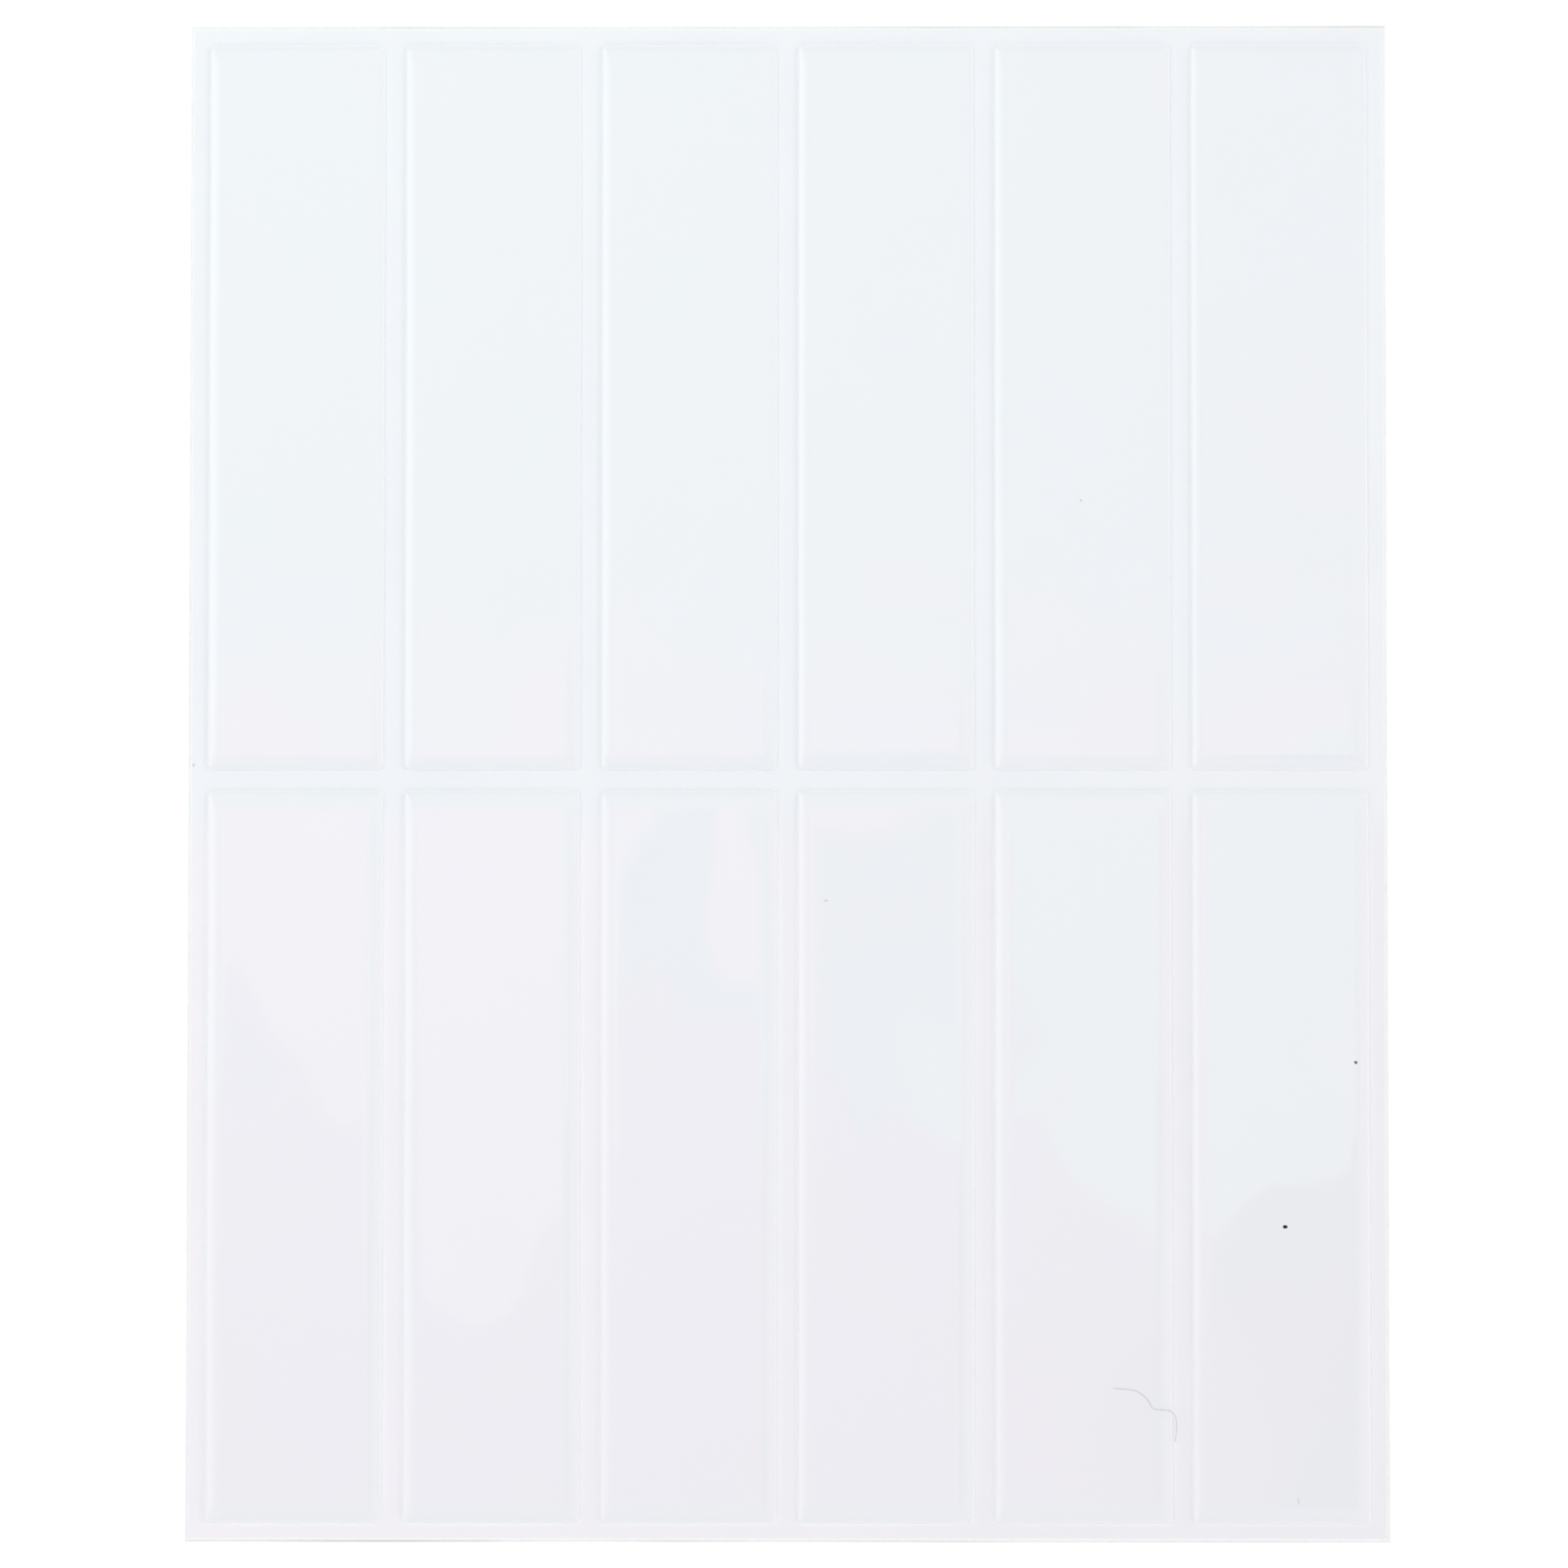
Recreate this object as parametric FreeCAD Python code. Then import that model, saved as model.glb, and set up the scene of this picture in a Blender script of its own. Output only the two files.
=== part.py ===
import FreeCAD, Part
import math
import os
from FreeCAD import Vector

# Self-adhesive wall tile sheet, lying face up: raised resin pads in a stack bond on one
# thin film, with a release liner under the film's adhesive.
# X runs across the sheet, Y along the pads, Z up. The origin is under the sheet's middle.

# Layout of the pads, in millimetres
COLUMNS = 6
ROWS = 2
PAD_WIDTH = 35.6
PAD_LENGTH = 146.7
JOINT = 4.0              # strip of bare film between two pads
FILM_MARGIN = 3.3        # film from the outer pads to its own cut edge
LINER_LIP = 0.5          # liner left showing past the film's cut edge

# Thicknesses
LINER_THICKNESS = 0.15
FILM_THICKNESS = 0.35
PAD_HEIGHT = 1.4         # flat top of a pad above the film

# Edge of a pad: an upright foot, a tight shoulder arc on it, then one long arc that is
# tangent to the shoulder and to the flat top. The shoulder is lower than the whole rise.
FOOT_HEIGHT = 0.15
SHOULDER_RADIUS = 0.6
DOME_RUN = 3.4           # from the foot inwards to where the top turns flat
PAD_CORNER_RADIUS = 1.2  # in plan, at the foot

# What follows from the values above
DOME_RISE = PAD_HEIGHT - FOOT_HEIGHT
CROWN_RADIUS = (DOME_RUN ** 2 + DOME_RISE ** 2 - 2 * DOME_RUN * SHOULDER_RADIUS) / (
    2 * (DOME_RISE - SHOULDER_RADIUS))
PAD_PITCH_X = PAD_WIDTH + JOINT
PAD_PITCH_Y = PAD_LENGTH + JOINT
FILM_WIDTH = COLUMNS * PAD_PITCH_X - JOINT + 2 * FILM_MARGIN
FILM_LENGTH = ROWS * PAD_PITCH_Y - JOINT + 2 * FILM_MARGIN
FILM_BOTTOM = LINER_THICKNESS
PAD_BOTTOM = FILM_BOTTOM + FILM_THICKNESS


def flat_sheet(width, length, bottom, thickness):
    """A rectangle cut from sheet stock, centred on the origin."""
    corner = Vector(-width / 2, -length / 2, bottom)
    return Part.makeBox(width, length, thickness, corner)


def dome_arcs(foot_x, side, run):
    """Shoulder and crown arcs in XZ, from the top of the foot to that far inwards.

    foot_x is where the foot stands, and side is +1 where outwards is +X, else -1.
    """
    crown_centre_z = PAD_HEIGHT - CROWN_RADIUS
    meeting = math.atan2(FOOT_HEIGHT - crown_centre_z, DOME_RUN - SHOULDER_RADIUS)
    end = math.acos((DOME_RUN - run) / CROWN_RADIUS)

    def arc(inwards, height, radius, first, last):
        def point(angle):
            reach = inwards - radius * math.cos(angle)
            return Vector(foot_x - side * reach, 0, height + radius * math.sin(angle))
        return Part.Arc(point(first), point((first + last) / 2), point(last)).toShape()

    shoulder = arc(SHOULDER_RADIUS, FOOT_HEIGHT, SHOULDER_RADIUS, 0, meeting)
    crown = arc(DOME_RUN, crown_centre_z, CROWN_RADIUS, meeting, end)
    return [shoulder, crown]


def closed_face(edges):
    return Part.Face(Part.Wire(Part.sortEdges(edges)[0]))


def domed_bar(span, length):
    """A bar with a flat top and two domed edges, drawn across X and extruded along Y."""
    half = span / 2
    top = half - DOME_RUN
    section = closed_face([
        Part.makeLine(Vector(-half, 0, 0), Vector(half, 0, 0)),
        Part.makeLine(Vector(half, 0, 0), Vector(half, 0, FOOT_HEIGHT)),
        *dome_arcs(half, 1, DOME_RUN),
        Part.makeLine(Vector(top, 0, PAD_HEIGHT), Vector(-top, 0, PAD_HEIGHT)),
        *dome_arcs(-half, -1, DOME_RUN),
        Part.makeLine(Vector(-half, 0, FOOT_HEIGHT), Vector(-half, 0, 0)),
    ])
    section.translate(Vector(0, -length / 2, 0))
    return section.extrude(Vector(0, length, 0))


def turned_corner():
    """The pad's outer corner: the same edge turned a quarter about the corner's axis.

    The axis is Z, and the corner faces +X and +Y.
    """
    radius = PAD_CORNER_RADIUS
    arcs = dome_arcs(radius, 1, radius)
    axis_top = arcs[-1].Vertexes[-1].Point
    section = closed_face([
        Part.makeLine(Vector(0, 0, 0), Vector(radius, 0, 0)),
        Part.makeLine(Vector(radius, 0, 0), Vector(radius, 0, FOOT_HEIGHT)),
        *arcs,
        Part.makeLine(axis_top, Vector(0, 0, 0)),
    ])
    return section.revolve(Vector(0, 0, 0), Vector(0, 0, 1), 90)


def tile_pad():
    """One pad, centred on the Z axis with its foot at Z 0.

    Two domed bars crossed at right angles give the mitres, and each outer corner of
    what they share is replaced by a turned one that is tangent to both edges.
    """
    along = domed_bar(PAD_WIDTH, PAD_LENGTH)
    across = domed_bar(PAD_LENGTH, PAD_WIDTH)
    across.rotate(Vector(0, 0, 0), Vector(0, 0, 1), 90)
    pad = along.common(across)

    radius = PAD_CORNER_RADIUS
    reach_x = PAD_WIDTH / 2 - radius
    reach_y = PAD_LENGTH / 2 - radius
    for sign_x, sign_y, turn in ((1, 1, 0), (-1, 1, 90), (-1, -1, 180), (1, -1, 270)):
        square = Part.makeBox(radius, radius, PAD_HEIGHT)
        rounded = turned_corner()
        for shape in (square, rounded):
            shape.rotate(Vector(0, 0, 0), Vector(0, 0, 1), turn)
            shape.translate(Vector(sign_x * reach_x, sign_y * reach_y, 0))
        pad = pad.cut(square).fuse(rounded)
    return pad.removeSplitter().Solids[0]


def pad_centre(row, column):
    """Centre of a pad's foot; row 1 is the one at +Y and column 1 the one at -X."""
    x = (column - (COLUMNS + 1) / 2) * PAD_PITCH_X
    y = ((ROWS + 1) / 2 - row) * PAD_PITCH_Y
    return Vector(x, y, PAD_BOTTOM)


def build_parts():
    liner_width = FILM_WIDTH + 2 * LINER_LIP
    liner_length = FILM_LENGTH + 2 * LINER_LIP
    parts = {
        "release_liner": flat_sheet(liner_width, liner_length, 0, LINER_THICKNESS),
        "face_film": flat_sheet(FILM_WIDTH, FILM_LENGTH, FILM_BOTTOM, FILM_THICKNESS),
    }
    pattern = tile_pad()
    for row in range(1, ROWS + 1):
        for column in range(1, COLUMNS + 1):
            pad = pattern.copy()
            pad.translate(pad_centre(row, column))
            parts[f"tile_pad_r{row}_c{column}"] = pad
    return parts


os.makedirs("parts", exist_ok=True)
for name, shape in build_parts().items():
    shape.exportStep(f"parts/{name}.step")
    box = shape.BoundBox
    print(f"{name}: {shape.ShapeType} solids {len(shape.Solids)} valid {shape.isValid()}",
          f"volume {shape.Volume:.1f} faces {len(shape.Faces)}",
          f"x {box.XMin:.2f} {box.XMax:.2f} y {box.YMin:.2f} {box.YMax:.2f}",
          f"z {box.ZMin:.2f} {box.ZMax:.2f}")
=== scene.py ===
import math
from collections import namedtuple

import bmesh
import bpy
from bpy.props import FloatProperty, FloatVectorProperty, PointerProperty
from mathutils import Matrix, Vector, noise


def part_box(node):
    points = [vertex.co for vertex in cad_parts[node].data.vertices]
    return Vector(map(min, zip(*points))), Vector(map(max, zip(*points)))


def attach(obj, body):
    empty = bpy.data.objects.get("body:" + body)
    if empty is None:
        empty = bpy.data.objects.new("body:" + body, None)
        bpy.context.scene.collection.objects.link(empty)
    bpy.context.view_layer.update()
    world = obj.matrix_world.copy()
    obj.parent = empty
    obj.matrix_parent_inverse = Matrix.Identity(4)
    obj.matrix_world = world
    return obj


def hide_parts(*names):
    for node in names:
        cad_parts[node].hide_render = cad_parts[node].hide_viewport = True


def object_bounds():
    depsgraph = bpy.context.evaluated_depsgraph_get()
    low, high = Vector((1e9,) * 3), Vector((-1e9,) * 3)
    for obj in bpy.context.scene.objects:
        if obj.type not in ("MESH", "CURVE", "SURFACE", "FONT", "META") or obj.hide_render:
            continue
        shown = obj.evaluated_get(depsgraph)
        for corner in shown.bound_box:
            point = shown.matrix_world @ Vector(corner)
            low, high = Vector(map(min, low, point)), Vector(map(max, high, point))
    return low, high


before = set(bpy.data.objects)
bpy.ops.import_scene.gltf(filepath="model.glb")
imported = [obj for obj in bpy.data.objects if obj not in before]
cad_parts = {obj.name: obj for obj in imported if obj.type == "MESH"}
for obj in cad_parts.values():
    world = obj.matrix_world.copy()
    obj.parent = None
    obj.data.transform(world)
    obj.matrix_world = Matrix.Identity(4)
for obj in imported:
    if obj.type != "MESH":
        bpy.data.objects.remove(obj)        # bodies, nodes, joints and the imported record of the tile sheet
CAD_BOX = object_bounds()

bl_info = {
    "name": "Tile Sheet",
    "version": (1, 0, 0),
    "blender": (4, 5, 0),
    "location": "3D View > Sidebar > Tile Sheet",
    "description": "Dresses a self-adhesive sheet of domed resin tiles and lights it on white",
    "category": "Add Mesh",
}

MM = 0.001
ACROSS = Vector((1, 0, 0))
ALONG = Vector((0, 1, 0))
UP = Vector((0, 0, 1))
SNAP = 1e-7              # points closer than this are one point
SHARP_EDGE = math.radians(40)
PAD_NODES = sorted(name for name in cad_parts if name.startswith("tile_pad_"))
PAD_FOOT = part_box(PAD_NODES[0])[0].z
CREASE = "crease"        # the film's attribute that says how near a pad's foot it is; it places the film's painted light

# Steps of the meshes
CORNER_STEPS = 6         # across a quarter turn
SHOULDER_RINGS = 7
CORNER_RINGS = 3         # from the shoulder to the axis of the rounded corner
CROWN_RINGS = 7
PAD_CELLS_ACROSS = 8
PAD_CELLS_ALONG = 36
CROWN_STEPS = 5          # across the slope of the film beside a pad
SHEET_CELL = 9 * MM
RIM_SUPPORT = 0.3 * MM   # a line beside the film's cut edge that keeps the face flat

# Bands of painted light and shade: where each starts, and where it is full
EDGE_GLOW_BAND = (0.45 * MM, 0.15 * MM)      # heights over the foot of a pad, for the resin's painted glow
FILM_RIM_HIGHLIGHT = (0.45 * MM, 0.25 * MM)       # distances from the box round the film, for its painted highlight
LINER_EDGE_SHADOW = (0.40 * MM, 0.24 * MM)    # distances from the ends of the liner, for its painted shadow
NEAR_HALF = (-3 * MM, -16 * MM)         # along the sheet, for the film's painted cast on its near half

# Ripples of the cast surfaces
LONG_RIPPLE = 32 * MM
SHORT_RIPPLE = 15 * MM
SHORT_SHARE = 0.15

# Dust on the sheet as the photograph shows it, in millimetres from the sheet's middle
Speck = namedtuple("Speck", "name across along width length tone")
SPECKS = (
    Speck("crumb_black", 99.62, -89.39, 0.84, 0.74, 0.015),
    Speck("crumb_grey", 113.86, -56.53, 0.60, 0.55, 0.12),
    Speck("crumb_faint", 59.01, 56.35, 0.34, 0.30, 0.48),
    Speck("smear_faint", 7.70, -24.14, 0.80, 0.30, 0.65),
    Speck("fleck_margin", -119.47, 3.08, 0.55, 0.50, 0.67),
    Speck("mark_faint", 102.11, -144.04, 0.28, 1.60, 0.72),
)
SPECK_THICKNESS = 0.045 * MM
HAIR_SPAN = 0.8 * MM     # how far the hair bridges out from a pad before it comes down
HAIR_ROUTE = (
    (65.19, -121.65), (68.32, -121.77), (70.08, -122.23), (71.45, -123.21),
    (72.43, -124.38), (73.01, -125.74), (74.77, -125.94), (76.53, -126.01),
    (77.51, -126.91), (77.90, -128.08), (77.82, -130.42), (77.58, -132.30),
)

# The studio round the sheet: its plain light, and what each part of it adds to that
OVERHEAD = (0.50, 0.70)  # heights of a direction, from low down to over the sheet
PLAIN_LIGHT = 0.781
LOW_LIGHT = 0.37
LEFT_LIGHT = 1.05        # of the left panel, overhead
LEFT_FAR_LIGHT = 0.30    # added to that towards its far end
LEFT_LOW_LIGHT = -0.70   # of the left panel, low down
RIGHT_LIGHT = 0.55
FAR_LIGHT = -0.45
SIDE_BAR_LIGHT = -0.45
SCREEN_EDGE = (0.037, 0.039)  # slopes towards -Y from straight up
SCREEN_SWING = 0.026     # how far its uneven edge swings


def length(name, description, millimetres):
    """A size that a user may change, held in metres."""
    return FloatProperty(name=name, description=description, default=millimetres * MM,
                         min=0.0, precision=5, unit="LENGTH")


def share(name, description, value):
    """A plain number without a unit, from 0 to 1."""
    return FloatProperty(name=name, description=description, default=value,
                         min=0.0, max=1.0, precision=3, subtype="FACTOR")


def colour(name, description, value, highest=1.0):
    """A scene-linear colour."""
    return FloatVectorProperty(name=name, description=description, default=value,
                               min=0.0, max=highest, size=3, subtype="COLOR")


class PadSettings(bpy.types.PropertyGroup):
    corner_radius: length("Corner radius", "Corner of a pad in plan, at its foot", 1.2)
    foot_height: length("Foot height", "Upright edge of a pad above the film", 0.15)
    shoulder_radius: length("Shoulder radius", "Tight arc on top of the foot", 0.6)
    dome_run: length("Domed edge", "From the foot inwards to the flat top", 3.4)
    top_drop: length("Top drop", "Flat top below the highest point of its node", 0.05)
    ripple: length("Ripple", "Depth of the waves that the resin set with", 0.20)
    tint: colour("Resin", "Main colour of the cast resin", (0.873, 0.912, 0.923))
    cloud: colour("Clouding", "Colour of its faint clouds", (0.882, 0.911, 0.918))
    # Painted glow: a paler colour on the thin edge that stands in for light coming through the resin
    edge: colour("Edge", "Colour of its thin edge, where light comes through",
                 (0.950, 0.980, 0.995))
    gloss: share("Roughness", "Roughness of clean resin", 0.015)


class FilmSettings(bpy.types.PropertyGroup):
    crown: length("Crown", "Rise of the bare film between two pads", 0.18)
    crown_run: length("Crown run", "Width of the slope beside a pad", 1.3)
    # Painted light: how much paler the film is made beside a pad's foot, lifting the shade there
    far_painted_light: share("Far crease", "How much paler it is beside a pad, on the far half", 0.02)
    near_painted_light: share("Near crease", "The same on the near half", 0.07)
    cut_wander: length("Cut wander", "How far the cut edge strays inwards", 0.10)
    cut_round: length("Cut rounding", "Rounding of the cut edge's upper corner", 0.18)
    tint: colour("Film", "Colour of the face film", (0.900, 0.935, 0.944))
    # Painted light: the film's colours on the near half stand in for the lavender light from the near side
    painted_cast_left: colour("Near left", "Its colour on the near half at -X", (0.926, 0.928, 0.949))
    painted_cast_right: colour("Near right", "Its colour on the near half at +X", (0.893, 0.910, 0.924))
    # Painted highlight: the colour of the cut edge, where it would catch the light
    rim: colour("Rim", "Colour of its cut edge", (0.970, 0.984, 0.968))
    gloss: share("Roughness", "Roughness of the satin film", 0.35)


class LinerSettings(bpy.types.PropertyGroup):
    cut_wander: length("Cut wander", "How far the cut edge strays inwards", 0.10)
    tint: colour("Paper", "Colour of the coated paper", (0.960, 0.980, 0.964))
    gloss: share("Roughness", "Roughness of the coated paper", 0.5)


class DustSettings(bpy.types.PropertyGroup):
    hair_width: length("Hair width", "Thickness of the stray hair", 0.08)
    hair_tint: colour("Hair", "Colour of the stray hair", (0.37, 0.36, 0.36))


class StageSettings(bpy.types.PropertyGroup):
    camera_place: FloatVectorProperty(
        name="Camera place", description="Where the camera stands",
        default=(0.0060, -0.0338, 1.0), size=3, subtype="TRANSLATION", unit="LENGTH")
    camera_turn: FloatVectorProperty(
        name="Camera turn", description="How the camera is turned from straight down",
        default=(math.radians(1.897), math.radians(0.383), math.radians(0.016)),
        size=3, subtype="EULER", unit="ROTATION")
    camera_lens: FloatProperty(
        name="Lens", description="Focal length for a frame 36 mm wide",
        default=114.2, min=1.0, unit="CAMERA")
    floor: colour("Floor", "Colour of the white floor", (0.96, 0.96, 0.96))
    floor_shadow: share("Floor shadow", "Share of the object's shadow that shows", 0.3)
    sky: colour("Soft light", "Colour of the plain light all round", (1.0, 1.0, 1.0))
    near_sky: colour("Near light", "Colour of the soft light from the near side",
                     (1.10, 0.82, 0.94), 2.0)
    near_glow: colour("Near glow", "Colour of that light above the sheet",
                      (1.64, 0.92, 1.28), 2.0)
    board_left: colour("Board, left", "Light off the dark board at -X", (0.44, 0.47, 0.56))
    board_right: colour("Board, right", "Light off the dark board at +X", (0.72, 0.86, 0.82))
    screen: colour("Screen", "Light off the screen on the near side", (0.77, 0.29, 0.62))
    lamp_power: FloatProperty(
        name="Lamp power", description="Power of the soft lamp on the upper left",
        default=0.52, min=0.0, unit="POWER")
    lamp_tint: colour("Lamp", "Colour of that lamp", (0.58, 0.97, 0.90))


class TileSheetSettings(bpy.types.PropertyGroup):
    pads: PointerProperty(type=PadSettings)
    film: PointerProperty(type=FilmSettings)
    liner: PointerProperty(type=LinerSettings)
    dust: PointerProperty(type=DustSettings)
    stage: PointerProperty(type=StageSettings)


class Value:
    """A shader socket in Python arithmetic: an operator adds the Math node it stands for."""

    def __init__(self, graph, socket):
        self.graph = graph
        self.socket = socket

    def __add__(self, other):
        return self.graph.maths("ADD", self, other)

    def __sub__(self, other):
        return self.graph.maths("SUBTRACT", self, other)

    def __rsub__(self, other):
        return self.graph.maths("SUBTRACT", other, self)

    def __mul__(self, other):
        return self.graph.maths("MULTIPLY", self, other)

    def __truediv__(self, other):
        return self.graph.maths("DIVIDE", self, other)

    def __neg__(self):
        return self.graph.maths("SUBTRACT", 0, self)

    def __abs__(self):
        return self.graph.maths("ABSOLUTE", self, 0)

    __radd__ = __add__
    __rmul__ = __mul__


class Graph:
    """The node tree of one material, or of the world."""

    def __init__(self, owner):
        owner.use_nodes = True
        self.tree = owner.node_tree
        self.tree.nodes.clear()

    def node(self, kind, settings=None, sockets=None, output=0):
        """Adds a node, sets it up, fills or links its sockets, and gives one output."""
        made = self.tree.nodes.new(kind)
        for name, value in (settings or {}).items():
            setattr(made, name, value)
        for name, value in (sockets or {}).items():
            if isinstance(value, Value):
                self.tree.links.new(value.socket, made.inputs[name])
            else:
                made.inputs[name].default_value = value
        return Value(self, made.outputs[output]) if made.outputs else None

    def maths(self, operation, first, second):
        return self.node("ShaderNodeMath", {"operation": operation}, {0: first, 1: second})

    def step(self, value, start, end):
        """Rises smoothly from 0 to 1 while the value goes from start to end."""
        return self.node("ShaderNodeMapRange", {"interpolation_type": "SMOOTHSTEP"},
                         {"Value": value, "From Min": start, "From Max": end})

    def fade(self, value, start, end):
        """Falls smoothly from 1 to 0 while the value goes from start to end."""
        return 1 - self.step(value, start, end)

    def within(self, value, rise, fall):
        """1 between two bands of the value and 0 outside them, smooth across each band."""
        return self.step(value, *rise) * self.fade(value, *fall)

    def larger(self, first, second):
        return self.maths("MAXIMUM", first, second)

    def sine(self, angle):
        return self.maths("SINE", angle, 0)

    def axes(self, place):
        """The x, y and z of a place or a direction."""
        first = self.node("ShaderNodeSeparateXYZ", {}, {0: place})
        return [Value(self, output) for output in first.socket.node.outputs]

    def blend(self, factor, first, second):
        """A colour between two colours."""
        return self.node("ShaderNodeMix", {"data_type": "RGBA"},
                         {0: factor, 6: first, 7: second}, 2)

    def noise(self, place, scale, detail=2.0, stretch=(1, 1, 1)):
        spread = self.node("ShaderNodeMapping", {}, {"Vector": place, "Scale": stretch})
        return self.node("ShaderNodeTexNoise", {},
                         {"Vector": spread, "Scale": scale, "Detail": detail})

    def bump(self, height, strength, distance):
        return self.node("ShaderNodeBump", {},
                         {"Height": height, "Strength": strength, "Distance": distance},
                         "Normal")


def opaque(tint):
    """A property's colour as the four numbers of a colour socket."""
    return (*tint, 1.0)


def new_material(name):
    """A material with an empty node tree, and the object's coordinates in it."""
    material = bpy.data.materials.new(name)
    graph = Graph(material)
    return material, graph, graph.node("ShaderNodeTexCoord", output="Object")


def cover(graph, **sockets):
    """Ends a material in one Principled surface; an underscore in a name is a space."""
    named = {name.replace("_", " "): value for name, value in sockets.items()}
    shader = graph.node("ShaderNodeBsdfPrincipled", {}, named)
    graph.node("ShaderNodeOutputMaterial", {}, {"Surface": shader})


def at_cut(graph, reach, end, band):
    """1 at a cut edge and 0 well inside it, where reach is a point's distance out."""
    start, full = band
    return graph.step(reach, end - start, end - full)


def resin_material(look):
    """Glossy white cast resin with faint clouds, handling smears and orange peel.

    Low down on its domed edge, where it is thin, it is painted paler: a painted glow that stands in for
    light coming through the resin.
    """
    material, graph, place = new_material("cast_resin")
    clouds = graph.step(graph.noise(place, 22, 3), 0.35, 0.65)
    smears = graph.step(graph.noise(place, 60, 4, (1, 0.35, 1)), 0.45, 0.75)
    peel = graph.noise(place, 420, 1)
    height = graph.axes(place)[2]
    start, full = EDGE_GLOW_BAND
    # Painted glow: the resin is made paler low on its domed edge, in place of light coming through it
    thin = graph.fade(height, PAD_FOOT + full, PAD_FOOT + start)
    body = graph.blend(clouds, opaque(look.tint), opaque(look.cloud))
    cover(graph,
          Base_Color=graph.blend(thin, body, opaque(look.edge)),
          Roughness=look.gloss + smears * 0.012,
          IOR=1.6,
          Normal=graph.bump(peel, 0.25, 0.004 * MM))
    return material


def film_material(look):
    """Satin white film: a fine embossed grain and faint rubbed patches.

    Beside each pad's foot it is painted paler, more on the near half: painted light over the
    shade there. On the near half its colour differs a little: a painted cast of the near light.
    A painted highlight makes it palest at its cut edge.
    """
    material, graph, place = new_material("satin_film")
    x, y, _ = graph.axes(place)
    patches = graph.step(graph.noise(place, 35, 3), 0.35, 0.7)
    grain = graph.noise(place, 2600, 1)
    crease = graph.node("ShaderNodeAttribute", {"attribute_name": CREASE}, {}, "Fac")
    # Painted light: on the near half the film takes a painted cast of the near light, differing from -X to
    # +X
    painted_near_cast = graph.blend(graph.step(-x, -100 * MM, 100 * MM),
                            opaque(look.painted_cast_right), opaque(look.painted_cast_left))
    start, full = NEAR_HALF
    near_half = graph.step(-y, -start, -full)
    tint = graph.blend(near_half, opaque(look.tint), painted_near_cast)
    # Painted light: the film is made paler beside each pad's foot, where shade falls, more on the near half
    painted_lift = look.far_painted_light + near_half * (look.near_painted_light - look.far_painted_light)
    wear_and_painted_lift = 1 - patches * 0.015 + crease * painted_lift
    film = graph.node("ShaderNodeVectorMath", {"operation": "SCALE"}, {0: tint, "Scale": wear_and_painted_lift})
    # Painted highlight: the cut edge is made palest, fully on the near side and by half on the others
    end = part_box("face_film")[1]
    sides = at_cut(graph, abs(x), end.x, FILM_RIM_HIGHLIGHT)
    far = at_cut(graph, y, end.y, FILM_RIM_HIGHLIGHT)
    near = at_cut(graph, -y, end.y, FILM_RIM_HIGHLIGHT)
    rim = graph.larger(graph.larger(sides, far) * 0.5, near)
    cover(graph,
          Base_Color=graph.blend(rim, film, opaque(look.rim)),
          Roughness=look.gloss + patches * 0.1,
          IOR=1.55,
          Normal=graph.bump(grain, 0.5, 0.01 * MM))
    return material


def liner_material(look):
    """Smooth coated paper with short fibres, and a painted shadow along its two cut ends.

    The painted shadow is darkest along the cut at -Y, towards -X.
    """
    material, graph, place = new_material("liner_paper")
    x, y, _ = graph.axes(place)
    fibres = graph.noise(place, 1500, 3, (1, 0.3, 1))
    flecks = graph.step(fibres, 0.42, 0.66)
    shade = [channel * 0.96 for channel in look.tint]
    # Painted shadow: the cut ends are darkened towards this colour, in place of the shade under the paper's
    # edge
    edge_shadow_tint = [channel * 0.50 for channel in look.tint]
    end = CAD_BOX[1].y
    near = at_cut(graph, -y, end, LINER_EDGE_SHADOW)
    far = at_cut(graph, y, end, LINER_EDGE_SHADOW)
    # How strong the painted shadow is: most along the cut at -Y, towards -X, and uneven along it
    cut = near * (0.65 - graph.step(x, -90 * MM, 20 * MM) * 0.30) + far * 0.38
    uneven = graph.step(graph.noise(place, 28, 3), 0.38, 0.62)
    paper = graph.blend(flecks, opaque(look.tint), opaque(shade))
    cover(graph,
          Base_Color=graph.blend(cut * (0.3 + uneven * 0.7), paper, opaque(edge_shadow_tint)),
          Roughness=look.gloss + fibres * 0.15,
          IOR=1.45,
          Normal=graph.bump(fibres, 0.4, 0.01 * MM))
    return material


def grit_material(name, tone):
    """Dull dirt of one grey tone, with paler and darker grains."""
    material, graph, place = new_material(name)
    grains = graph.noise(place, 9000, 2)
    dark = (tone * 0.7, tone * 0.7, tone * 0.7, 1.0)
    pale = (tone * 1.3, tone * 1.3, tone * 1.3, 1.0)
    cover(graph, Base_Color=graph.blend(grains, dark, pale), Roughness=0.85,
          Normal=graph.bump(grains, 0.6, 0.02 * MM))
    return material


def hair_material(tint):
    """A hair with a slight sheen and uneven colour along it."""
    material, graph, place = new_material("hair_fibre")
    bands = graph.noise(place, 900, 2)
    pale = [min(1.0, channel * 1.5) for channel in tint]
    cover(graph, Base_Color=graph.blend(bands, opaque(tint), opaque(pale)),
          Roughness=0.35 + bands * 0.2)
    return material


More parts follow.
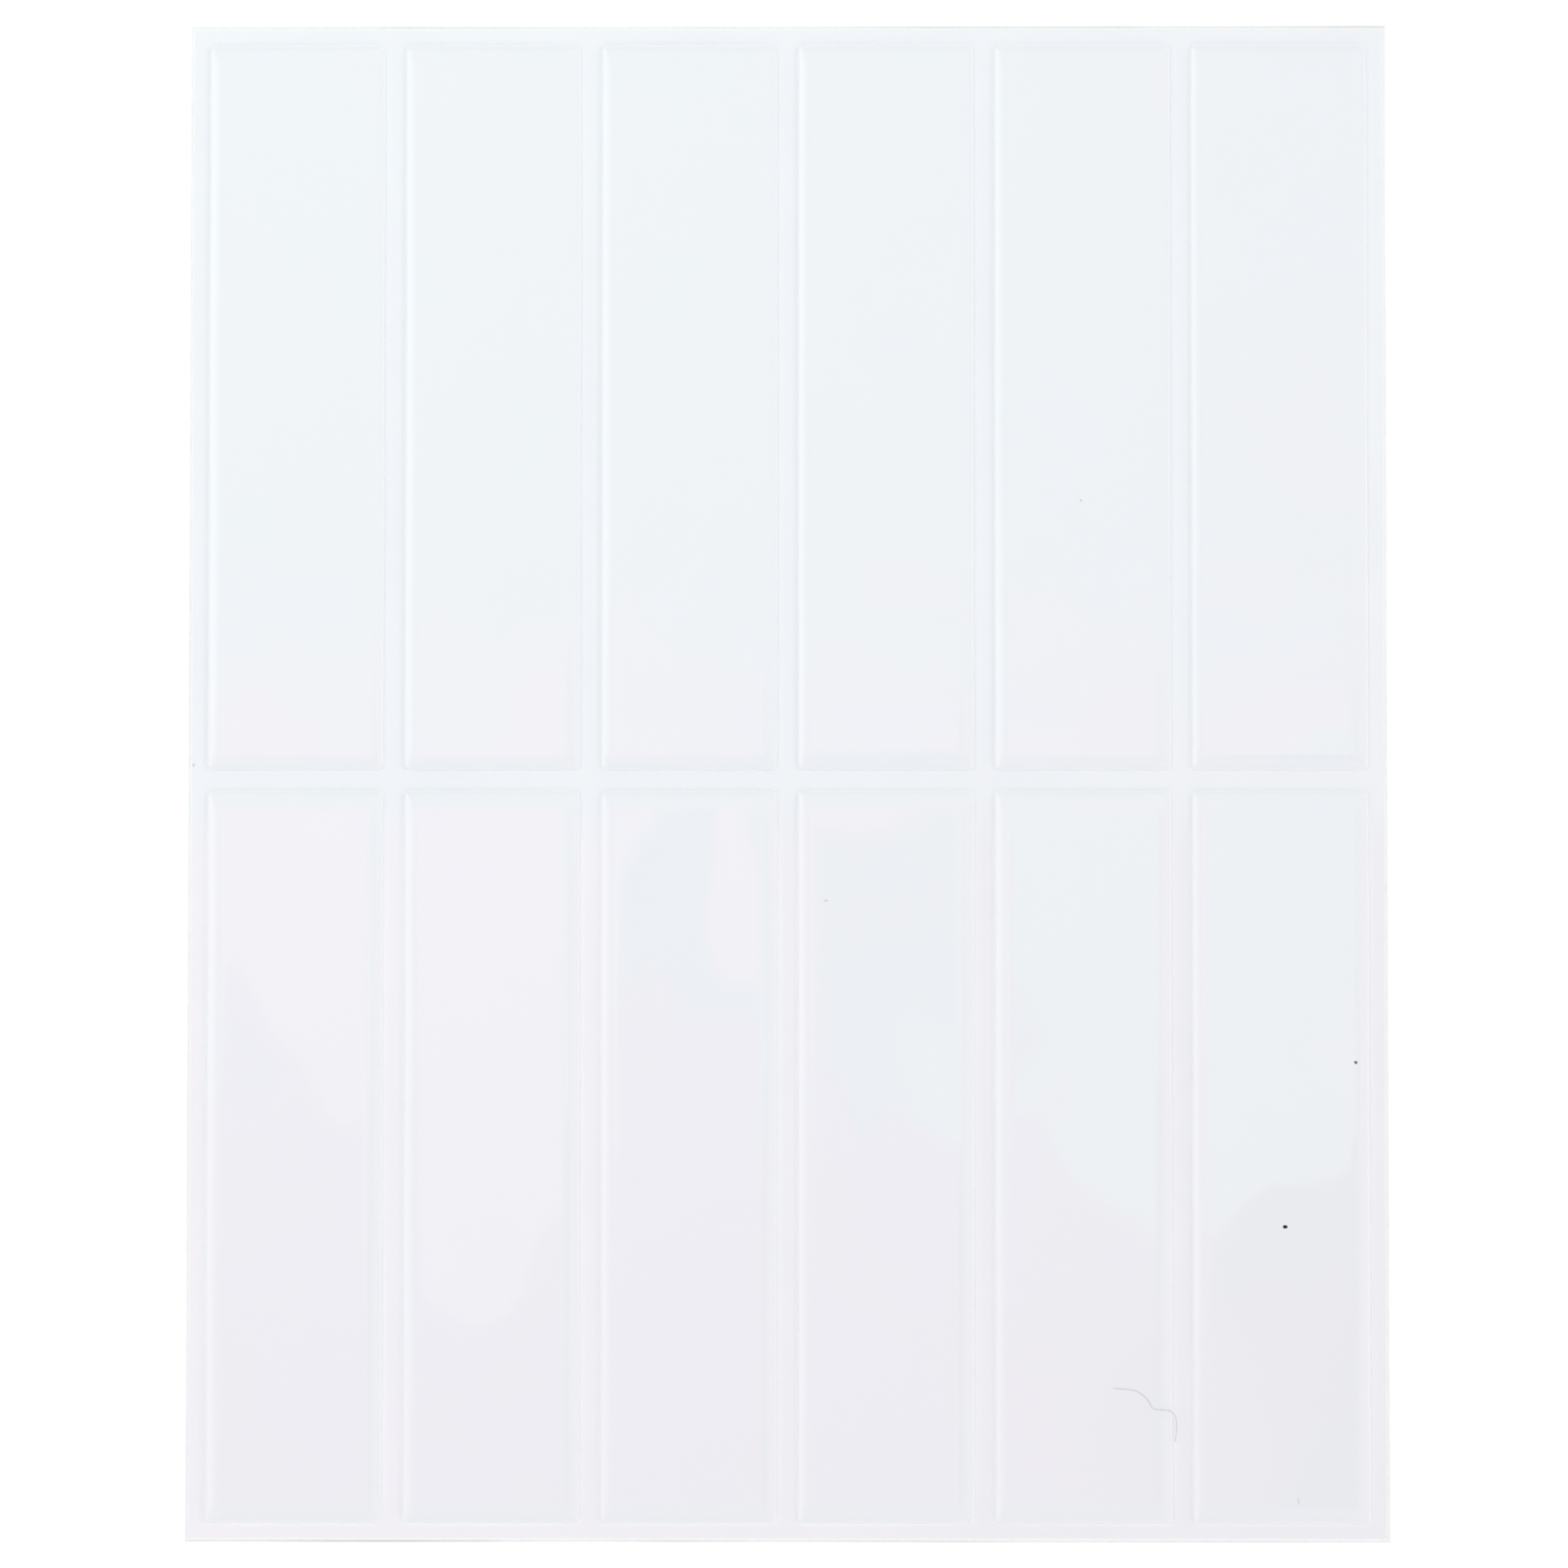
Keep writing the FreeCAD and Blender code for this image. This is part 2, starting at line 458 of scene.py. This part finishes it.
def floor_material(look):
    """White floor that stays plain white, with only a share of the object's shadow."""
    material, graph, _ = new_material("studio_floor")
    matt = graph.node("ShaderNodeBsdfDiffuse", {}, {"Color": opaque(look.floor)})
    glow = graph.node("ShaderNodeEmission", {}, {"Strength": 1.05})
    rays = [graph.node("ShaderNodeLightPath", output=f"Is {kind} Ray")
            for kind in ("Camera", "Glossy", "Transmission")]
    seen = graph.larger(graph.larger(rays[0], rays[1]), rays[2])
    mixed = graph.node("ShaderNodeMixShader", {},
                       {0: seen * (1 - look.floor_shadow), 1: matt, 2: glow})
    graph.node("ShaderNodeOutputMaterial", {}, {"Surface": mixed})
    return material


def even_places(start, end, count):
    """Evenly spaced numbers from start to end, with that many gaps."""
    return [start + (end - start) * step / count for step in range(count + 1)]


def flat_face(lo, hi):
    """A mesh of one rectangle over a box's outline, at its lowest height, facing up."""
    centre = (lo + hi) / 2
    half = (hi - lo) / 2
    place = Matrix.Translation((centre.x, centre.y, lo.z))
    bm = bmesh.new()
    bmesh.ops.create_grid(bm, x_segments=1, y_segments=1, size=1.0,
                          matrix=place @ Matrix.Diagonal((half.x, half.y, 1, 1)))
    return bm


def cut_lines(bm, direction, places):
    """Cuts the mesh on planes square to a direction."""
    for place in places:
        bmesh.ops.bisect_plane(bm, geom=bm.verts[:] + bm.edges[:] + bm.faces[:], dist=SNAP,
                               plane_co=direction * place, plane_no=direction)


def thicken(bm, thickness):
    """Raises a copy of the flat mesh on upright walls, and gives its upper faces."""
    made = bmesh.ops.extrude_face_region(bm, geom=bm.faces[:], use_keep_orig=True)["geom"]
    upper_verts = [item for item in made if isinstance(item, bmesh.types.BMVert)]
    bmesh.ops.translate(bm, vec=UP * thickness, verts=upper_verts)
    return [item for item in made if isinstance(item, bmesh.types.BMFace)]


def closed_object(bm, name, material):
    """A finished piece of the sheet, with outward faces, that rides with it."""
    bmesh.ops.remove_doubles(bm, verts=bm.verts, dist=SNAP)
    bmesh.ops.recalc_face_normals(bm, faces=bm.faces)
    mesh = bpy.data.meshes.new(name)
    bm.to_mesh(mesh)
    bm.free()
    mesh.polygons.foreach_set("use_smooth", [True] * len(mesh.polygons))
    mesh.set_sharp_from_angle(angle=SHARP_EDGE)
    mesh.materials.append(material)
    piece = bpy.data.objects.new(name, mesh)
    bpy.context.scene.collection.objects.link(piece)
    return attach(piece, "root")


def crown_of(look, height):
    """Radius of a pad's crown arc, its centre's height, and where it meets the shoulder.

    The arc is tangent to the shoulder arc and to the flat top.
    """
    rise = height - look.foot_height
    run = look.dome_run
    radius = (run ** 2 + rise ** 2 - 2 * run * look.shoulder_radius) / (
        2 * (rise - look.shoulder_radius))
    centre = height - radius
    meeting = math.atan2(look.foot_height - centre, run - look.shoulder_radius)
    return radius, centre, meeting


def dome_rings(look, height):
    """(reach inwards, height) of each ring of a domed edge, from the foot to the flat."""
    radius, centre, meeting = crown_of(look, height)
    corner = math.acos((look.dome_run - look.corner_radius) / radius)
    rings = [(look.shoulder_radius * (1 - math.cos(angle)),
              look.foot_height + look.shoulder_radius * math.sin(angle))
             for angle in even_places(0, meeting, SHOULDER_RINGS)]
    for start, end, count in ((meeting, corner, CORNER_RINGS),
                              (corner, math.pi / 2, CROWN_RINGS)):
        rings += [(look.dome_run - radius * math.cos(angle),
                   centre + radius * math.sin(angle))
                  for angle in even_places(start, end, count)[1:]]
    return rings


def dome_height(look, height, reach):
    """Height of a pad over its foot, that far in from its outline."""
    radius, centre, meeting = crown_of(look, height)
    if reach >= look.dome_run:
        return height
    if reach >= look.shoulder_radius * (1 - math.cos(meeting)):
        return centre + math.sqrt(radius ** 2 - (look.dome_run - reach) ** 2)
    inner = look.shoulder_radius - reach
    return look.foot_height + math.sqrt(look.shoulder_radius ** 2 - inner ** 2)


def ripple_at(place, depth):
    """How far the set resin dips there: long waves with short ones on them."""
    flat = Vector((place.x, place.y, 0))
    waves = noise.noise(flat / LONG_RIPPLE) + SHORT_SHARE * noise.noise(flat / SHORT_RIPPLE)
    return depth * (0.5 + 0.7 * waves)


def highest_faces(bm):
    """The faces that lie flat at the very top of the mesh."""
    top = max(vert.co.z for vert in bm.verts)
    return [face for face in bm.faces if all(top - vert.co.z < SNAP for vert in face.verts)]


def gather_corners(bm, lo, hi, radius):
    """Makes one point of each rounded corner, where the rings have reached its axis."""
    top = max(vert.co.z for vert in bm.verts)
    for x in (lo.x + radius, hi.x - radius):
        for y in (lo.y + radius, hi.y - radius):
            axis = Vector((x, y, top))
            arc = [vert for vert in bm.verts if (vert.co - axis).length < radius / 10]
            bmesh.ops.pointmerge(bm, verts=arc, merge_co=axis)


def pad_mesh(lo, hi, look):
    """One pad: a round-cornered foot, rings up its domed edge, and a rippled flat top."""
    height = hi.z - look.top_drop - lo.z
    bm = flat_face(lo, hi)
    support = look.dome_run + look.corner_radius / 2
    cut_lines(bm, ACROSS, even_places(lo.x + support, hi.x - support, PAD_CELLS_ACROSS))
    cut_lines(bm, ALONG, even_places(lo.y + support, hi.y - support, PAD_CELLS_ALONG))
    corners = [vert for vert in bm.verts if len(vert.link_edges) == 2]
    bmesh.ops.bevel(bm, geom=corners, offset=look.corner_radius, offset_type="OFFSET",
                    segments=CORNER_STEPS, profile=0.5, affect="VERTICES", material=-1)
    upper = thicken(bm, look.foot_height)

    rings = dome_rings(look, height)
    for (reach, level), (next_reach, next_level) in zip(rings, rings[1:]):
        bmesh.ops.inset_region(bm, faces=upper, thickness=next_reach - reach,
                               depth=next_level - level, use_boundary=True,
                               use_even_offset=True)
        if abs(next_reach - look.corner_radius) < SNAP:
            gather_corners(bm, lo, hi, look.corner_radius)
            upper = highest_faces(bm)

    domed = height - look.foot_height
    for vert in bm.verts:
        raised = max(0.0, vert.co.z - lo.z - look.foot_height) / domed
        vert.co.z -= ripple_at(vert.co, look.ripple) * raised
    return bm


def stray(bm, depth, seed):
    """Lets a sheet's cut edge wander inwards by up to that depth."""
    middle = sum((vert.co for vert in bm.verts), Vector()) / len(bm.verts)
    rim = {vert for edge in bm.edges if edge.is_boundary for vert in edge.verts}
    reach = Vector((max(abs(vert.co.x - middle.x) for vert in rim),
                    max(abs(vert.co.y - middle.y) for vert in rim)))
    for vert in rim:
        wave = noise.noise(Vector((vert.co.x, vert.co.y, 0)) / LONG_RIPPLE + UP * seed)
        inwards = depth * min(1.0, max(0.0, 0.5 + wave))
        for axis in range(2):
            offset = vert.co[axis] - middle[axis]
            if reach[axis] - abs(offset) < SNAP:
                vert.co[axis] -= math.copysign(inwards, offset)


def outline_gap(x, y, box, radius):
    """Distance from a point to a pad's round-cornered outline, negative inside it."""
    lo, hi = box
    over_x = abs(x - (lo.x + hi.x) / 2) - (hi.x - lo.x) / 2 + radius
    over_y = abs(y - (lo.y + hi.y) / 2) - (hi.y - lo.y) / 2 + radius
    outside = math.hypot(max(over_x, 0.0), max(over_y, 0.0))
    return outside + min(max(over_x, over_y), 0.0) - radius


def crease_at(x, y, pads, settings):
    """1 at the foot of a pad and under it, falling to 0 where the film's slope ends."""
    gap = min(outline_gap(x, y, box, settings.pads.corner_radius) for box in pads)
    done = min(1.0, max(0.0, gap / settings.film.crown_run))
    return (1 - done) ** 2


def film_rise(x, y, pads, settings):
    """Crown of the bare film: none at the foot of a pad, full where the slope ends."""
    return settings.film.crown * (1 - crease_at(x, y, pads, settings))


def beside(edges, outwards, settings):
    """Places of the cuts from each pad edge out to where the film's slope ends."""
    run = settings.film.crown_run
    return [edge + outwards * step for edge in edges
            for step in even_places(0, run, CROWN_STEPS)]


def film_mesh(lo, hi, pads, settings):
    """The face film: flat under the pads, and crowned in the joints and the margin."""
    bm = flat_face(lo, hi)
    for direction, axis in ((ACROSS, 0), (ALONG, 1)):
        starts = {round(box[0][axis], 6) for box in pads}
        ends = {round(box[1][axis], 6) for box in pads}
        cells = round((hi[axis] - lo[axis]) / SHEET_CELL)
        cut_lines(bm, direction, sorted(beside(starts, -1, settings)
                                        + beside(ends, 1, settings)
                                        + even_places(lo[axis], hi[axis], cells)[1:-1]
                                        + [lo[axis] + RIM_SUPPORT, hi[axis] - RIM_SUPPORT]))
    stray(bm, settings.film.cut_wander, 3)
    rim = {vert for edge in bm.edges if edge.is_boundary for vert in edge.verts}
    rim_places = {(vert.co.x, vert.co.y) for vert in rim}
    upper = thicken(bm, hi.z - lo.z)
    creased = bm.verts.layers.float.new(CREASE)
    for vert in {vert for face in upper for vert in face.verts}:
        vert[creased] = crease_at(vert.co.x, vert.co.y, pads, settings)
        vert.co.z += settings.film.crown * (1 - vert[creased])
    lip = {edge for face in upper for edge in face.edges
           if all((vert.co.x, vert.co.y) in rim_places for vert in edge.verts)
           and any(other not in upper for other in edge.link_faces)}
    bmesh.ops.bevel(bm, geom=list(lip), offset=settings.film.cut_round,
                    offset_type="OFFSET", segments=4, profile=0.5, affect="EDGES",
                    material=-1)
    return bm


def liner_mesh(lo, hi, look):
    """The release liner: thin flat paper with a slightly wandering cut edge."""
    bm = flat_face(lo, hi)
    for direction, axis in ((ACROSS, 0), (ALONG, 1)):
        cells = round((hi[axis] - lo[axis]) / SHEET_CELL)
        cut_lines(bm, direction, even_places(lo[axis], hi[axis], cells)[1:-1])
    stray(bm, look.cut_wander, 8)
    thicken(bm, hi.z - lo.z)
    return bm


def surface_height(x, y, pads, settings):
    """Height of whatever lies on top there: a pad's surface or the bare film."""
    look = settings.pads
    lo, hi = min(pads, key=lambda box: outline_gap(x, y, box, look.corner_radius))
    gap = outline_gap(x, y, (lo, hi), look.corner_radius)
    if gap > 0:
        return lo.z + film_rise(x, y, pads, settings)
    height = hi.z - look.top_drop - lo.z
    level = dome_height(look, height, -gap)
    raised = max(0.0, level - look.foot_height) / (height - look.foot_height)
    return lo.z + level - ripple_at(Vector((x, y, 0)), look.ripple) * raised


def speck_mesh(speck, pads, settings):
    """A thin uneven flake lying on the sheet."""
    x = speck.across * MM
    y = speck.along * MM
    z = surface_height(x, y, pads, settings) + SPECK_THICKNESS / 2
    bm = bmesh.new()
    bmesh.ops.create_icosphere(bm, subdivisions=3, radius=1.0)
    for vert in bm.verts:
        vert.co *= 1 + 0.35 * noise.noise(vert.co * 1.3 + Vector((speck.across, 0, 0)))
    bmesh.ops.scale(bm, verts=bm.verts,
                    vec=(speck.width * MM / 2, speck.length * MM / 2, SPECK_THICKNESS / 2))
    bmesh.ops.translate(bm, verts=bm.verts, vec=(x, y, z))
    return bm


def hair_mesh(pads, settings):
    """The stray hair as a round fibre that lies on what is under it.

    It is made flat first, and then lifted onto the highest surface within its span.
    """
    radius = settings.dust.hair_width / 2
    line = bpy.data.curves.new("hair_line", "CURVE")
    line.dimensions = "3D"
    line.bevel_depth = radius
    line.bevel_resolution = 2
    line.use_fill_caps = True
    spline = line.splines.new("NURBS")
    spline.points.add(len(HAIR_ROUTE) - 1)
    for point, (across, along) in zip(spline.points, HAIR_ROUTE):
        point.co = (across * MM, along * MM, radius / 2, 1.0)
    spline.order_u = 3
    spline.use_endpoint_u = True
    holder = bpy.data.objects.new("hair_line", line)
    bpy.context.scene.collection.objects.link(holder)
    bpy.context.view_layer.update()
    mesh = bpy.data.meshes.new_from_object(holder)
    bm = bmesh.new()
    bm.from_mesh(mesh)
    bpy.data.objects.remove(holder)
    bpy.data.meshes.remove(mesh)
    steps = (-HAIR_SPAN, 0, HAIR_SPAN)
    for vert in bm.verts:
        vert.co.z += max(surface_height(vert.co.x + step, vert.co.y, pads, settings)
                         for step in steps)
    return bm


class TILE_SHEET_OT_liner(bpy.types.Operator):
    """Cut the release liner under the adhesive"""

    bl_idname = "tile_sheet.liner"
    bl_label = "Release Liner"
    bl_options = {"REGISTER", "UNDO"}

    def execute(self, context):
        look = context.scene.tile_sheet.liner
        lo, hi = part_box("release_liner")
        piece = closed_object(liner_mesh(lo, hi, look), "liner_sheet", liner_material(look))
        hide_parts("release_liner")
        return {"FINISHED"}


class TILE_SHEET_OT_film(bpy.types.Operator):
    """Lay the face film that carries the pads and shows in the joints"""

    bl_idname = "tile_sheet.film"
    bl_label = "Face Film"
    bl_options = {"REGISTER", "UNDO"}

    def execute(self, context):
        settings = context.scene.tile_sheet
        lo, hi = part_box("face_film")
        pads = [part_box(name) for name in PAD_NODES]
        piece = closed_object(film_mesh(lo, hi, pads, settings), "film_sheet",
                              film_material(settings.film))
        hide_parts("face_film")
        return {"FINISHED"}


class TILE_SHEET_OT_pads(bpy.types.Operator):
    """Cast the domed resin pads, each in the place of its node"""

    bl_idname = "tile_sheet.pads"
    bl_label = "Resin Pads"
    bl_options = {"REGISTER", "UNDO"}

    def execute(self, context):
        look = context.scene.tile_sheet.pads
        material = resin_material(look)
        for node in PAD_NODES:
            lo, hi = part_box(node)
            name = node.replace("tile_pad", "resin_pad")
            piece = closed_object(pad_mesh(lo, hi, look), name, material)
            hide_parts(node)
        return {"FINISHED"}


class TILE_SHEET_OT_dust(bpy.types.Operator):
    """Drop the crumbs, faint marks and stray hair that lie on the sheet"""

    bl_idname = "tile_sheet.dust"
    bl_label = "Dust"
    bl_options = {"REGISTER", "UNDO"}

    def execute(self, context):
        settings = context.scene.tile_sheet
        pads = [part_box(name) for name in PAD_NODES]
        for speck in SPECKS:
            material = grit_material(f"grit_{speck.name}", speck.tone)
            closed_object(speck_mesh(speck, pads, settings), speck.name, material)
        closed_object(hair_mesh(pads, settings), "stray_hair",
                      hair_material(settings.dust.hair_tint))
        return {"FINISHED"}


class TILE_SHEET_OT_stage(bpy.types.Operator):
    """Set the white floor, the soft light and the camera over the sheet"""

    bl_idname = "tile_sheet.stage"
    bl_label = "Stage"
    bl_options = {"REGISTER", "UNDO"}

    def execute(self, context):
        look = context.scene.tile_sheet.stage
        add_floor(look)
        add_lamp(look)
        light_world(look)
        add_camera(look)
        context.scene.view_settings.view_transform = "Standard"
        return {"FINISHED"}


def add_floor(look):
    """A wide white floor just under the sheet."""
    reach = 4.0
    lo = Vector((-reach, -reach, CAD_BOX[0].z - 0.02 * MM))
    bm = flat_face(lo, Vector((reach, reach, 0)))
    mesh = bpy.data.meshes.new("studio_floor")
    bm.to_mesh(mesh)
    bm.free()
    mesh.materials.append(floor_material(look))
    floor = bpy.data.objects.new("studio_floor", mesh)
    bpy.context.scene.collection.objects.link(floor)


def add_lamp(look):
    """A soft lamp near the upper left corner, turned towards the sheet.

    It fills without a shadow: the plain light all round gives the soft shadows.
    """
    lamp = bpy.data.lights.new("soft_lamp", "AREA")
    lamp.shape = "SQUARE"
    lamp.size = 0.3
    lamp.color = look.lamp_tint
    lamp.energy = look.lamp_power
    lamp.use_shadow = False
    place = Vector((-0.21, 0.30, 0.55))
    holder = bpy.data.objects.new("soft_lamp", lamp)
    holder.matrix_world = (Matrix.Translation(place)
                           @ place.to_track_quat("Z", "Y").to_matrix().to_4x4())
    holder.visible_camera = False
    holder.visible_glossy = False
    bpy.context.scene.collection.objects.link(holder)


def panel(graph, towards, aside, reach, width):
    """1 in a panel's direction and 0 away from it, by a band that way and one to its sides."""
    return graph.step(towards, *reach) * graph.fade(abs(aside), *width)


def panel_light(graph, x, y, z, near):
    """How bright the plain light is in a direction; it is brighter low down.

    A panel hangs on the left, bright overhead, most so towards its far end, and dark low
    down. A small bright one hangs on the right and a dark one on the far side, and a dark
    bar beside the board, on the near right.
    """
    low = graph.fade(z, *OVERHEAD)
    left = panel(graph, -x, y, reach=(0.30, 0.64), width=(0.20, 0.40))
    right = panel(graph, x, y, reach=(0.65, 0.85), width=(0.30, 0.50))
    far = panel(graph, y, x, reach=(0.55, 0.75), width=(0.20, 0.40))
    side_bar = graph.within(x, rise=(0.10, 0.14), fall=(0.38, 0.42)) * near
    high_light = LEFT_LIGHT + graph.step(y, -0.10, 0.02) * LEFT_FAR_LIGHT
    left_light = high_light + low * (LEFT_LOW_LIGHT - high_light)
    return (PLAIN_LIGHT + low * LOW_LIGHT + left * left_light + right * RIGHT_LIGHT
            + far * FAR_LIGHT + side_bar * SIDE_BAR_LIGHT)


def dark_board(graph, across, along):
    """Where the board hides the light, but for a gap in it."""
    gap = graph.within(across, rise=(-0.020, -0.019), fall=(-0.007, -0.006))
    board = graph.step(across, -0.042, -0.040) * graph.fade(along, 0.031, 0.033)
    return board * (1 - gap)


def near_screen(graph, across, along):
    """Where the screen hides the light, up to an uneven edge: waves, and one ridge."""
    left = graph.fade(across, -0.01, 0.02)
    ridge = graph.step(across, 0.036, 0.070) - graph.step(across, 0.076, 0.13)
    waves = graph.sine(across * 66) + graph.sine(across * 230) * 0.3
    swing = (waves + 0.15) * left + ridge * 0.85 - 0.15
    return graph.step(-along - swing * SCREEN_SWING, *SCREEN_EDGE)


def light_world(look):
    """Plain soft light all round, with the parts of the studio that the gloss shows.

    across and along are a direction's slopes from straight up. A dark board and, on the
    near side, a screen hang over the sheet, in a light that is a little lavender.
    """
    world = bpy.data.worlds.new("studio_light")
    bpy.context.scene.world = world
    graph = Graph(world)
    x, y, z = graph.axes(graph.node("ShaderNodeTexCoord", output="Generated"))
    lifted = graph.larger(z, 0.02)
    across = x / lifted
    along = y / lifted
    above = graph.fade(abs(across), 0.18, 0.30) * graph.step(z, *OVERHEAD)
    near = graph.within(y, rise=(-0.25, -0.15), fall=(0.02, 0.08))
    horizon = graph.fade(z, 0.12, 0.25)

    sky = graph.blend(near, opaque(look.sky), opaque(look.near_sky))
    sky = graph.blend(near * above, sky, opaque(look.near_glow))
    level = panel_light(graph, x, y, z, near) * (1 - horizon) + horizon
    plain = graph.node("ShaderNodeBackground", {}, {"Color": sky, "Strength": level})

    screen = near_screen(graph, across, along) * above
    lit_screen = screen * graph.fade(-along, 0.14, 0.24)
    right = graph.step(across, 0.026, 0.035) * graph.fade(-along, 0.06, 0.12)
    board = graph.blend(right, opaque(look.board_left), opaque(look.board_right))
    shade = graph.blend(lit_screen, board, opaque(look.screen))
    dim = 1 - lit_screen * graph.step(across, 0.03, 0.13) * 0.85
    dark = graph.node("ShaderNodeBackground", {}, {"Color": shade, "Strength": dim})
    hidden = graph.larger(dark_board(graph, across, along) * above, screen)
    light = graph.node("ShaderNodeMixShader", {},
                       {0: hidden * (1 - horizon), 1: plain, 2: dark})
    graph.node("ShaderNodeOutputWorld", {}, {"Surface": light})


def add_camera(look):
    """The camera over the sheet, at the photograph's viewing angle."""
    camera = bpy.data.cameras.new("camera")
    camera.sensor_width = 36
    camera.lens = look.camera_lens
    holder = bpy.data.objects.new("camera", camera)
    holder.location = look.camera_place
    holder.rotation_euler = look.camera_turn
    bpy.context.scene.collection.objects.link(holder)
    bpy.context.scene.camera = holder


OPERATORS = (TILE_SHEET_OT_liner, TILE_SHEET_OT_film, TILE_SHEET_OT_pads,
             TILE_SHEET_OT_dust, TILE_SHEET_OT_stage)


class TILE_SHEET_PT_panel(bpy.types.Panel):
    """Lists the pieces of the sheet and its stage"""

    bl_idname = "TILE_SHEET_PT_panel"
    bl_label = "Tile Sheet"
    bl_space_type = "VIEW_3D"
    bl_region_type = "UI"
    bl_category = "Tile Sheet"

    def draw(self, context):
        settings = context.scene.tile_sheet
        groups = (settings.liner, settings.film, settings.pads, settings.dust,
                  settings.stage)
        for operator, group in zip(OPERATORS, groups):
            box = self.layout.box()
            box.operator(operator.bl_idname)
            for name in group.bl_rna.properties.keys():
                if name not in ("rna_type", "name"):
                    box.prop(group, name)


CLASSES = (PadSettings, FilmSettings, LinerSettings, DustSettings, StageSettings,
           TileSheetSettings, *OPERATORS, TILE_SHEET_PT_panel)


def register():
    for added in CLASSES:
        bpy.utils.register_class(added)
    bpy.types.Scene.tile_sheet = PointerProperty(type=TileSheetSettings)


def unregister():
    del bpy.types.Scene.tile_sheet
    for added in reversed(CLASSES):
        bpy.utils.unregister_class(added)


def main():
    register()
    bpy.ops.tile_sheet.liner()
    bpy.ops.tile_sheet.film()
    bpy.ops.tile_sheet.pads()
    bpy.ops.tile_sheet.dust()
    bpy.ops.tile_sheet.stage()


if __name__ == "__main__":
    main()
